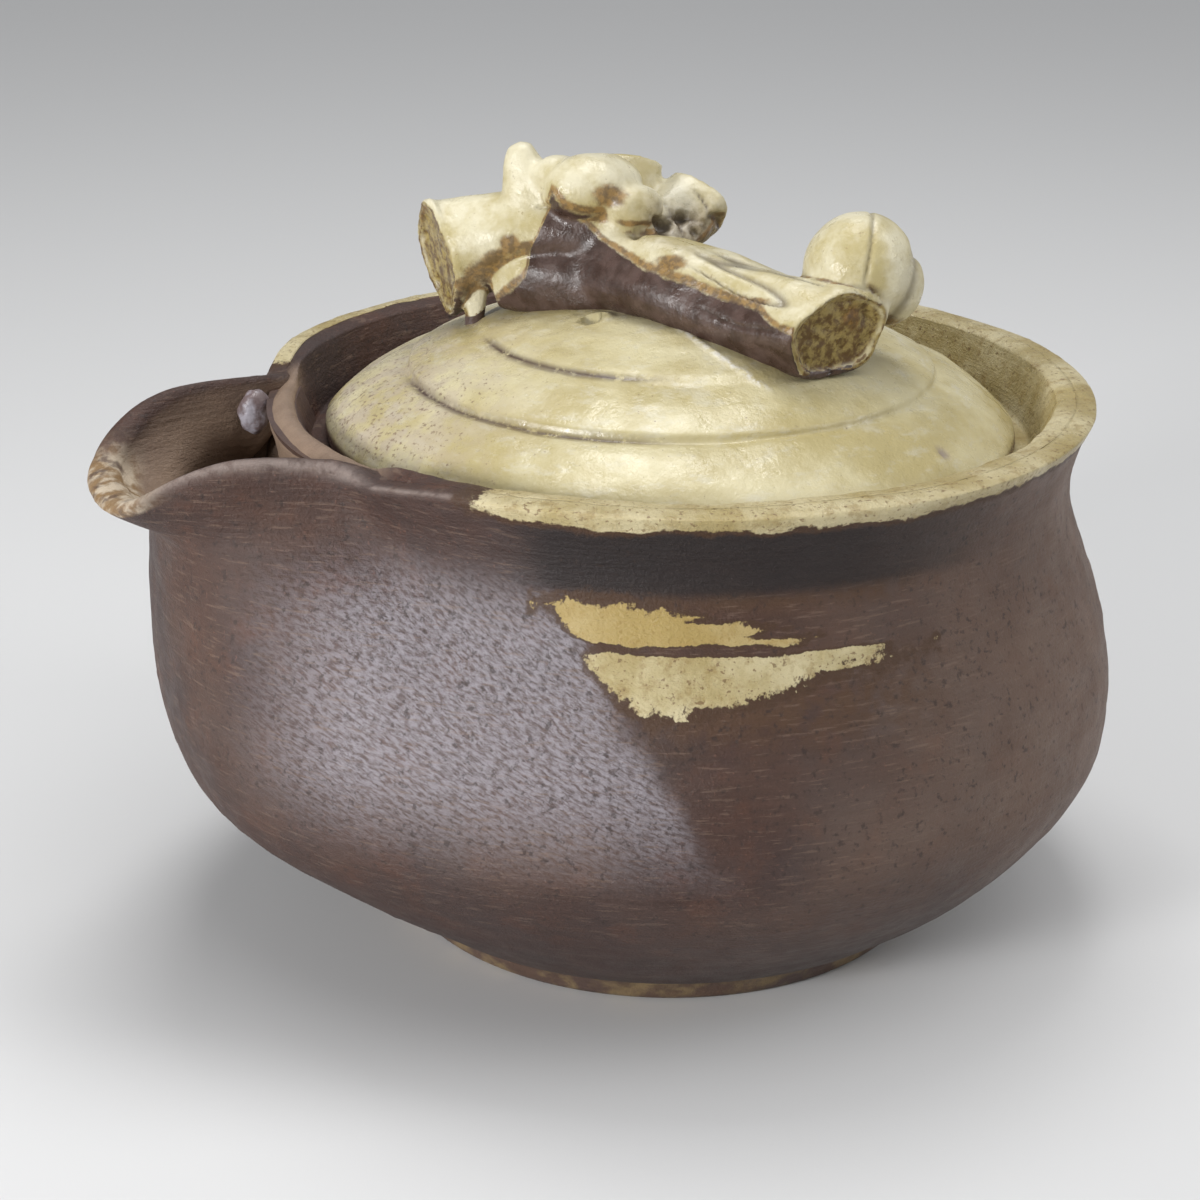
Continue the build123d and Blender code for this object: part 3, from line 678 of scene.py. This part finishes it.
# Pits by (across, upward, half width, half height, depth), and the rugged clay round them
PITS = ((-1.0, 74.6, 1.0, 0.8, 1.1), (0.9, 75.8, 0.8, 0.8, 1.0), (4.9, 76.1, 0.8, 0.6, 0.8),
        (-3.3, 73.3, 1.7, 0.5, 0.8), (2.4, 74.2, 0.6, 0.5, 0.5), (-14.6, 76.4, 1.4, 0.2, 0.3))
hollow = np.zeros(amount)
ragged = 1 + 0.6 * noise(spots, 0.9, 233)
for at_across, at_up, wide, tall, depth in PITS:
    far = (((across - at_across) / wide) ** 2 + ((upward - at_up) / tall) ** 2) * ragged
    hollow = np.maximum(hollow, depth * np.exp(-far ** 2) * in_front)
rugged = in_front * bump_at(across, 2.0, 5.5) * bump_at(upward, 74.6, 3.0)
lift = lift - hollow + rugged * layered(spots, 1.6, 229, 2) * 0.25

# How deep each point lies below its wide surroundings, for the shade painted into the hollows
pairs = np.zeros(len(joined.edges) * 2, np.int32)
joined.edges.foreach_get("vertices", pairs)
first, second = pairs.reshape(-1, 2).T
neighbours = np.bincount(first, minlength=amount) + np.bincount(second, minlength=amount)
eased = spots.copy()
for _ in range(60):
    for k in range(3):
        total = np.bincount(first, eased[second, k], amount) + np.bincount(second, eased[first, k], amount)
        eased[:, k] = 0.4 * eased[:, k] + 0.6 * total / neighbours
cavity = np.einsum("ij,ij->i", eased - spots, facing)


def above_lid():
    """Height of the knob's points over the lid's top."""
    return spots[:, 2] - lid_height(np.hypot(spots[:, 0], spots[:, 1]))


fade = ease(above_lid(), -0.2, 0.8)
spots = spots + facing * (lift * (0.3 + 0.7 * fade))[:, None]
joined.vertices.foreach_set("co", (spots * MM).ravel())

# Bare clay: the underside, and the front below a border from the arm to the log's end
BORDER = ((-20.8, 66.0), (-16.8, 68.8), (-14.0, 77.5), (-4.06, 69.1), (16.0, 60.4))
border = broken_line(across + noise(spots, 2.5, 232) * 0.7, BORDER)
below = np.clip((border - upward) * 0.3, -1, 1)
below = below - 2 * (1 - ease(across, -21.4, -20.6)) - 2 * (1 - ease(facing @ FRONT, -0.75, -0.1))
bare = -0.55 - facing[:, 2] + layered(spots, 3.4, 231, 2) * 0.12
bare = np.maximum(bare, np.clip(below, -1, 1) - 0.5 * (1 - ease(distance(spots, LOG_END), 7.0, 9.0)))
bare = bare - on_bud * 0.5 - arm_sawn * 0.4 - log_sawn * 1.2
at_lid = 1 - ease(above_lid(), 0.3, 1.8)
bare = np.clip(np.maximum(bare, at_lid * 1.8 - 1), -1, 1)
# Painted shade: darker in the log's grooves, the bud's crease and seam, and the pits
recess_shade = np.clip(groove * 0.9 + crease * 0.5 + seam * 0.7 + np.clip(hollow, 0, 1), 0, 1)

# Amber glaze: stains by (across, upward, half width, half height) and along the border's edge, and painted shade
# in the hollows
STAINS = ((-7.2, 77.2, 2.4, 1.6), (-0.6, 69.4, 2.2, 1.2), (-18.4, 72.4, 1.5, 1.3), (7.5, 64.6, 2.6, 0.6),
          (18.5, 63.0, 1.2, 1.6))
amber = np.zeros(amount)
for at_across, at_up, wide, tall in STAINS:
    far = ((across - at_across) / wide) ** 2 + ((upward - at_up) / tall) ** 2
    amber = np.maximum(amber, np.exp(-far) * in_front)
amber = np.maximum(amber, bump_at(bare, -0.15, 0.25) * 0.8)
# Painted shade: amber brown in the hollows and crevices
amber = np.maximum(amber, ease(cavity, 0.10, 0.55) * 0.95)
give_values(joined, {"bare": bare, "sawn": sawn, "recess_shade": recess_shade, "amber": amber * 2 - 1.1, "rugged": rugged})
joined.polygons.foreach_set("use_smooth", np.ones(len(joined.polygons), bool))
joined.update()
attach(knob, "lid")
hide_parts("branch_log", "branch_arm", "prop_peg", "crest_lump", "top_stub", "back_petal", "back_stub",
            "bud", "bud_lobe")

# Materials

class Paint:
    """A material in the making, with the few kinds of node that it uses. Sizes are in millimetres."""

    def __init__(self, name, roughness=0.5, specular=0.5):
        self.material = bpy.data.materials.new(name)
        self.material.use_nodes = True
        self.tree = self.material.node_tree
        self.shader = self.tree.nodes["Principled BSDF"]
        self.shader.inputs["Roughness"].default_value = roughness
        self.shader.inputs["Specular IOR Level"].default_value = specular
        self.where = self.tree.nodes.new("ShaderNodeTexCoord").outputs["Object"]

    def give(self, socket, value):
        """Links a socket's value to the input, or writes a number or a colour into it."""
        if isinstance(value, bpy.types.NodeSocket):
            self.tree.links.new(value, socket)
        elif hasattr(socket.default_value, "__len__") and len(value) == 3 and len(socket.default_value) == 4:
            socket.default_value = (*value, 1)
        else:
            socket.default_value = value

    def number(self, name):
        """A value that the mesh's points carry."""
        node = self.tree.nodes.new("ShaderNodeAttribute")
        node.attribute_name = name
        return node.outputs["Fac"]

    def stretch(self, amounts):
        node = self.tree.nodes.new("ShaderNodeMapping")
        self.give(node.inputs["Vector"], self.where)
        node.inputs["Scale"].default_value = amounts
        return node.outputs["Vector"]

    def scratched(self):
        """Coordinates in metres on which noise runs in short strokes, slanting down and away from the spout."""
        node = self.tree.nodes.new("ShaderNodeSeparateXYZ")
        self.give(node.inputs[0], self.where)
        around = self.both(self.number("around"), MM)
        run = self.sum("ADD", self.both(around, -0.30), self.both(node.outputs[2], -0.14))
        cross = self.sum("ADD", self.both(around, -0.42), self.both(node.outputs[2], 0.90))
        join = self.tree.nodes.new("ShaderNodeCombineXYZ")
        self.give(join.inputs[0], run)
        self.give(join.inputs[1], cross)
        return join.outputs[0]

    def noise(self, size, detail=3.0, rough=0.6, at=None, warp=0.0):
        node = self.tree.nodes.new("ShaderNodeTexNoise")
        self.give(node.inputs["Vector"], at or self.where)
        node.inputs["Scale"].default_value = 1 / (size * MM)
        node.inputs["Detail"].default_value = detail
        node.inputs["Roughness"].default_value = rough
        node.inputs["Distortion"].default_value = warp
        return node.outputs["Fac"]

    def sum(self, kind, a, b=0.0):
        node = self.tree.nodes.new("ShaderNodeMath")
        node.operation = kind
        self.give(node.inputs[0], a)
        self.give(node.inputs[1], b)
        return node.outputs[0]

    def both(self, a, b):
        return self.sum("MULTIPLY", a, b)

    def either(self, a, b):
        return self.sum("MAXIMUM", a, b)

    def fit(self, value, low, high, to_low=0.0, to_high=1.0):
        """Goes smoothly from to_low to to_high while the value goes from low to high."""
        node = self.tree.nodes.new("ShaderNodeMapRange")
        node.interpolation_type = "SMOOTHSTEP"
        self.give(node.inputs["Value"], value)
        for key, number in (("From Min", low), ("From Max", high), ("To Min", to_low), ("To Max", to_high)):
            node.inputs[key].default_value = number
        return node.outputs[0]

    def clouds(self, size, detail, low, high, to_low=0.0, to_high=1.0, rough=0.6):
        """A mask of soft spots: noise, fitted."""
        return self.fit(self.noise(size, detail, rough), low, high, to_low, to_high)

    def mix(self, share, a, b):
        node = self.tree.nodes.new("ShaderNodeMix")
        node.data_type = "RGBA"
        self.give(node.inputs[0], share)
        self.give(node.inputs[6], a)
        self.give(node.inputs[7], b)
        return node.outputs[2]

    def patchy(self, name, size, strength, soft=0.1, wider=0.0):
        """A mask from a point value whose edge is made ragged by noise; wider spreads it out."""
        ragged = self.sum("MULTIPLY_ADD", self.noise(size, 4, 0.65), strength)
        ragged.node.inputs[2].default_value = wider - strength / 2
        return self.fit(self.sum("ADD", self.number(name), ragged), -soft, soft)

    def finish(self, colour, roughness=None, relief=()):
        """Ends the material; relief is pairs of a pattern and its depth."""
        self.give(self.shader.inputs["Base Color"], colour)
        if roughness is not None:
            self.give(self.shader.inputs["Roughness"], roughness)
        previous = None
        for height, depth in relief:
            node = self.tree.nodes.new("ShaderNodeBump")
            node.inputs["Strength"].default_value = 1.0
            node.inputs["Distance"].default_value = depth * MM
            self.give(node.inputs["Height"], height)
            if previous:
                self.tree.links.new(previous, node.inputs["Normal"])
            previous = node.outputs["Normal"]
        if previous:
            self.tree.links.new(previous, self.shader.inputs["Normal"])
        return self.material


def clay_colour(paint, brown, violet, red):
    """Unglazed stoneware: brown with violet and red clouds, fine streaks from the wheel, and grit."""
    colour = paint.mix(paint.clouds(16, 3, 0.38, 0.66), brown, violet)
    colour = paint.mix(paint.both(paint.clouds(5, 4, 0.5, 0.72), 0.6), colour, red)
    streaks = paint.noise(1.4, 3, 0.6, paint.stretch((0.16, 0.16, 1.6)))
    colour = paint.mix(paint.fit(streaks, 0.42, 0.68, 0.0, 0.35), colour, tuple(c * 0.45 for c in brown))
    grit = paint.clouds(0.42, 2, 0.66, 0.74, 0.0, 0.5, rough=0.5)
    return paint.mix(grit, colour, tuple(min(1, c * 2.6) for c in brown))


def ash_colour(paint):
    """Ash glaze: olive yellow, paler where thick, with tiny brown freckles."""
    colour = paint.mix(paint.clouds(9, 4, 0.35, 0.65), (0.38, 0.300, 0.130), (0.57, 0.495, 0.300))
    colour = paint.mix(paint.clouds(1.8, 4, 0.5, 0.66, 0.0, 0.5, rough=0.7), colour, (0.26, 0.17, 0.055))
    return paint.mix(paint.clouds(0.5, 2, 0.61, 0.69, 0.0, 0.7, rough=0.5), colour, (0.15, 0.08, 0.03))


# Body: the clay's colours, with a painted sheen, a painted highlight on the lip and painted shade low down, one
# over another, then the glazes over the clay
paint = Paint("stoneware", specular=0.4)
clay = clay_colour(paint, (0.062, 0.029, 0.020), (0.052, 0.032, 0.028), (0.095, 0.038, 0.021))
warm_clay = paint.mix(paint.noise(6, 4), (0.155, 0.083, 0.053), (0.260, 0.190, 0.145))
clay = paint.mix(paint.both(paint.number("warm"), 0.7), clay, warm_clay)
ruddy = paint.both(paint.number("ruddy"), paint.clouds(2.4, 4, 0.3, 0.6))
clay = paint.mix(ruddy, clay, (0.078, 0.038, 0.018))
# Painted sheen: pale violet-grey strokes in the violet zone
strokes = paint.fit(paint.noise(0.36, 4, 0.65, paint.scratched(), 0.3), 0.34, 0.62, 0.2, 1.0)
clay = paint.mix(paint.both(paint.number("violet"), strokes), clay, (0.255, 0.230, 0.250))
flecks = paint.noise(0.7, 3, 0.6, paint.stretch((0.22, 0.22, 2.2)))
clay = paint.mix(paint.fit(flecks, 0.56, 0.68, 0.0, 0.40), clay, (0.19, 0.125, 0.090))
clay = paint.mix(paint.clouds(0.8, 3, 0.56, 0.70, 0.0, 0.7), clay, (0.028, 0.016, 0.013))
# Painted shade towards the foot
clay = paint.mix(paint.both(paint.number("low"), 0.6), clay, (0.034, 0.020, 0.018))
channel_clay = paint.mix(paint.noise(2.5, 4), (0.21, 0.140, 0.098), (0.38, 0.275, 0.195))
clay = paint.mix(paint.both(paint.number("channel"), 0.8), clay, channel_clay)
clay = paint.mix(paint.both(paint.number("band"), 0.9), clay, (0.013, 0.009, 0.009))
# Painted highlight on the lip's outer edge
painted_lip_highlight = paint.both(paint.number("painted_lip_highlight"), paint.clouds(1.6, 3, 0.3, 0.6, 0.2, 0.8))
clay = paint.mix(painted_lip_highlight, clay, (0.27, 0.215, 0.19))
ash = paint.patchy("ash", 0.8, 1.7, 0.12)
amber = paint.patchy("ash", 1.0, 1.8, 0.25, 0.55)
rim = paint.patchy("rim_ash", 0.9, 1.3, 0.14)
rim_amber = paint.patchy("rim_ash", 1.2, 1.2, 0.3, 0.55)
colour = paint.mix(paint.both(paint.either(amber, rim_amber), 0.9), clay, (0.060, 0.028, 0.012))
glaze = ash_colour(paint)
golden = paint.both(paint.number("golden"), paint.both(paint.fit(paint.number("rim_ash"), -0.5, -0.9), 0.7))
glaze = paint.mix(golden, glaze, (0.39, 0.270, 0.080))
coated = paint.either(ash, rim)
colour = paint.mix(coated, colour, glaze)
tip = paint.both(paint.number("tip"), paint.clouds(2.6, 3, 0.32, 0.5, 0.2, 1.0))
tip_clay = paint.mix(paint.clouds(2.2, 4, 0.42, 0.62), (0.52, 0.43, 0.32), (0.24, 0.15, 0.07))
colour = paint.mix(tip, colour, tip_clay)
rough = paint.clouds(3.5, 4, 0.3, 0.7, 0.46, 0.60)
rough = paint.sum("SUBTRACT", rough, paint.both(paint.either(coated, paint.number("violet")), 0.20))
bumps = ((paint.noise(0.34, 3, 0.6, paint.scratched(), 0.3), 0.09), (paint.noise(0.42, 4, 0.7), 0.16),
         (paint.noise(0.8, 3, 0.6, paint.stretch((0.18, 0.18, 1.8))), 0.12))
skin.data.materials.append(paint.finish(colour, rough, bumps))

LIGHT_CLAY = ((0.115, 0.068, 0.048), (0.10, 0.062, 0.052), (0.15, 0.08, 0.05))
paint = Paint("inner_clay")
colour = clay_colour(paint, *LIGHT_CLAY)
rough = paint.clouds(3.5, 4, 0.3, 0.7, 0.45, 0.6)
well_piece.data.materials.append(paint.finish(colour, rough, ((paint.noise(0.9, 5), 0.15),)))

paint = Paint("foot_clay")
colour = clay_colour(paint, (0.105, 0.060, 0.040), (0.09, 0.055, 0.045), (0.17, 0.10, 0.05))
colour = paint.mix(paint.clouds(5, 4, 0.45, 0.62, 0.0, 0.7), colour, (0.24, 0.17, 0.08))
rough = paint.clouds(3, 4, 0.3, 0.7, 0.5, 0.66)
foot_clay = paint.finish(colour, rough, ((paint.noise(0.8, 5), 0.16),))
foot_piece.data.materials.append(foot_clay)
base_piece.data.materials.append(foot_clay)

paint = Paint("strainer_clay")
colour = clay_colour(paint, (0.090, 0.052, 0.038), (0.085, 0.052, 0.046), (0.12, 0.065, 0.04))
rough = paint.clouds(3, 4, 0.3, 0.7, 0.5, 0.62)
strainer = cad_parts["strainer_wall"].data.materials
strainer.clear()
strainer.append(paint.finish(colour, rough, ((paint.noise(0.8, 5), 0.15),)))

paint = Paint("wad_clay")
colour = paint.mix(paint.clouds(2.2, 4, 0.4, 0.62), (0.36, 0.34, 0.38), (0.15, 0.11, 0.11))
rough = paint.clouds(2, 3, 0.3, 0.7, 0.28, 0.45)
wad_clay = paint.finish(colour, rough, ((paint.noise(0.9, 4), 0.15),))
for wad in wads:
    wad.data.materials.append(wad_clay)

paint = Paint("lid_glaze")
colour = paint.mix(paint.clouds(13, 4, 0.36, 0.62), (0.43, 0.360, 0.170), (0.57, 0.510, 0.310))
streaks = paint.noise(2.0, 4, 0.7, paint.stretch((0.5, 0.5, 1.6)))
colour = paint.mix(paint.both(paint.fit(streaks, 0.50, 0.70), 0.35), colour, (0.60, 0.58, 0.50))
specks = paint.both(paint.number("specks"), paint.clouds(3.2, 4, 0.4, 0.6, 0.1, 0.7))
colour = paint.mix(specks, colour, (0.42, 0.35, 0.28))
freckles = paint.sum("ADD", paint.noise(0.55, 4, 0.65), paint.both(paint.number("specks"), 0.11))
colour = paint.mix(paint.both(paint.fit(freckles, 0.65, 0.75), 0.75), colour, (0.17, 0.105, 0.07))
# Painted shade along the cut rings
groove_shade = paint.both(paint.clouds(1.5, 4, 0.30, 0.50, rough=0.7), paint.number("groove"))
colour = paint.mix(groove_shade, colour, (0.060, 0.033, 0.026))
crust = paint.both(paint.number("crust"), paint.clouds(0.8, 4, 0.4, 0.6, rough=0.7))
colour = paint.mix(crust, colour, (0.66, 0.63, 0.56))
colour = paint.mix(paint.both(paint.number("crater"), 0.75), colour, (0.22, 0.17, 0.18))
clay = clay_colour(paint, *LIGHT_CLAY)
colour = paint.mix(paint.fit(paint.number("under"), 0.45, 0.75), colour, clay)
rough = paint.clouds(2.6, 4, 0.3, 0.7, 0.22, 0.42)
bumps = ((paint.noise(1.3, 5), 0.12), (paint.noise(0.4, 2, 0.5), 0.03))
lid_piece.data.materials.append(paint.finish(colour, rough, bumps))

paint = Paint("branch_glaze")
colour = paint.mix(paint.clouds(6, 4, 0.36, 0.64), (0.45, 0.380, 0.185), (0.66, 0.610, 0.440))
colour = paint.mix(paint.clouds(0.7, 3, 0.66, 0.74, 0.0, 0.45), colour, (0.20, 0.12, 0.045))
rugged = paint.mix(paint.clouds(1.0, 4, 0.35, 0.65), (0.10, 0.07, 0.05), (0.36, 0.31, 0.25))
colour = paint.mix(paint.both(paint.number("rugged"), 0.85), colour, rugged)
sawn = paint.mix(paint.clouds(1.1, 5, 0.40, 0.60, rough=0.7), (0.115, 0.062, 0.020), (0.34, 0.26, 0.095))
colour = paint.mix(paint.number("sawn"), colour, sawn)
# Amber stains, and painted shade in the hollows and crevices
stain_and_crevice_shade = paint.mix(paint.clouds(0.9, 4, 0.4, 0.6), (0.25, 0.135, 0.035), (0.11, 0.055, 0.020))
colour = paint.mix(paint.both(paint.patchy("amber", 1.0, 1.2, 0.4), 0.85), colour, stain_and_crevice_shade)
underside = paint.mix(paint.clouds(2.4, 4, 0.35, 0.65), (0.046, 0.025, 0.018), (0.090, 0.056, 0.046))
colour = paint.mix(paint.patchy("bare", 1.2, 0.35, 0.08), colour, underside)
# Painted shade in the grooves, creases and pits
colour = paint.mix(paint.both(paint.number("recess_shade"), 0.75), colour, (0.060, 0.036, 0.022))
rough = paint.clouds(2.0, 4, 0.3, 0.7, 0.24, 0.46)
knob.data.materials.clear()
knob.data.materials.append(paint.finish(colour, rough, ((paint.noise(0.9, 5), 0.14),)))

# Floor and camera

FLOOR_HALF = 3000
corners = [(x * FLOOR_HALF, y * FLOOR_HALF, 0) for x, y in ((-1, -1), (1, -1), (1, 1), (-1, 1))]
floor = add_mesh("floor", corners, [[0, 1, 2, 3]])
paint = Paint("floor", roughness=0.7, specular=0.2)
floor.data.materials.append(paint.finish((0.66, 0.66, 0.66)))

# The camera looks down by tilt, leans by roll, and all of it turns about the pot's axis.
# CAMERA_AT is its place in millimetres to the right, away and up, before the turn.
CAMERA_AT = (-7.74, -261.43, 138.62)
FOCAL_LENGTH = 71.163
tilt = math.radians(21.56)
roll = math.radians(0.74)
turn = Matrix.Rotation(math.radians(-21), 4, "Z")
right = Vector((1, 0, 0))
up = Vector((0, math.sin(tilt), math.cos(tilt)))
back = Vector((0, -math.cos(tilt), math.sin(tilt)))
side = right * math.cos(roll) + up * math.sin(roll)
top = up * math.cos(roll) - right * math.sin(roll)
lens = bpy.data.cameras.new("camera")
lens.lens = FOCAL_LENGTH
lens.sensor_width = 36
lens.clip_start = 0.01
camera = bpy.data.objects.new("camera", lens)
bpy.context.scene.collection.objects.link(camera)
stand = [[side[k], top[k], back[k], CAMERA_AT[k] * MM] for k in range(3)]
camera.matrix_world = turn @ Matrix((*stand, (0, 0, 0, 1)))
bpy.context.scene.camera = camera

# Light: three soft boxes, a wide weak sun and a pale sky


def add_lamp(name, kind, power, heading):
    """A lamp that shines along a heading, which is given as the camera sees it."""
    data = bpy.data.lights.new(name, kind)
    data.energy = power
    lamp = bpy.data.objects.new(name, data)
    bpy.context.scene.collection.objects.link(lamp)
    lamp.rotation_euler = (turn @ Vector(heading)).to_track_quat("-Z", "Y").to_euler()
    return lamp


def softbox(name, where, target, width, height, power):
    """A rectangular lamp, placed and aimed in metres to the right, away and up as the camera sees it."""
    lamp = add_lamp(name, "AREA", power, Vector(target) - Vector(where))
    lamp.location = turn @ Vector(where)
    lamp.data.shape = "RECTANGLE"
    lamp.data.size = width
    lamp.data.size_y = height


softbox("left_box", (-0.37, -0.36, 0.155), (0, 0, 0.04), 0.10, 0.11, 2.3)
softbox("top_box", (-0.02, 0.10, 0.55), (0, 0, 0.05), 0.24, 0.18, 1.25)
softbox("right_box", (0.55, -0.10, 0.35), (0, 0, 0.04), 0.25, 0.40, 1.0)
overhead = add_lamp("overhead", "SUN", 0.85, (-0.3, 0.2, -1.0))
overhead.data.angle = math.radians(50)
world = bpy.data.worlds.new("world")
bpy.context.scene.world = world
world.use_nodes = True
backdrop = world.node_tree.nodes["Background"]
backdrop.inputs["Color"].default_value = (0.92, 0.94, 0.97, 1)
backdrop.inputs["Strength"].default_value = 0.28
bpy.context.scene.view_settings.view_transform = "Standard"
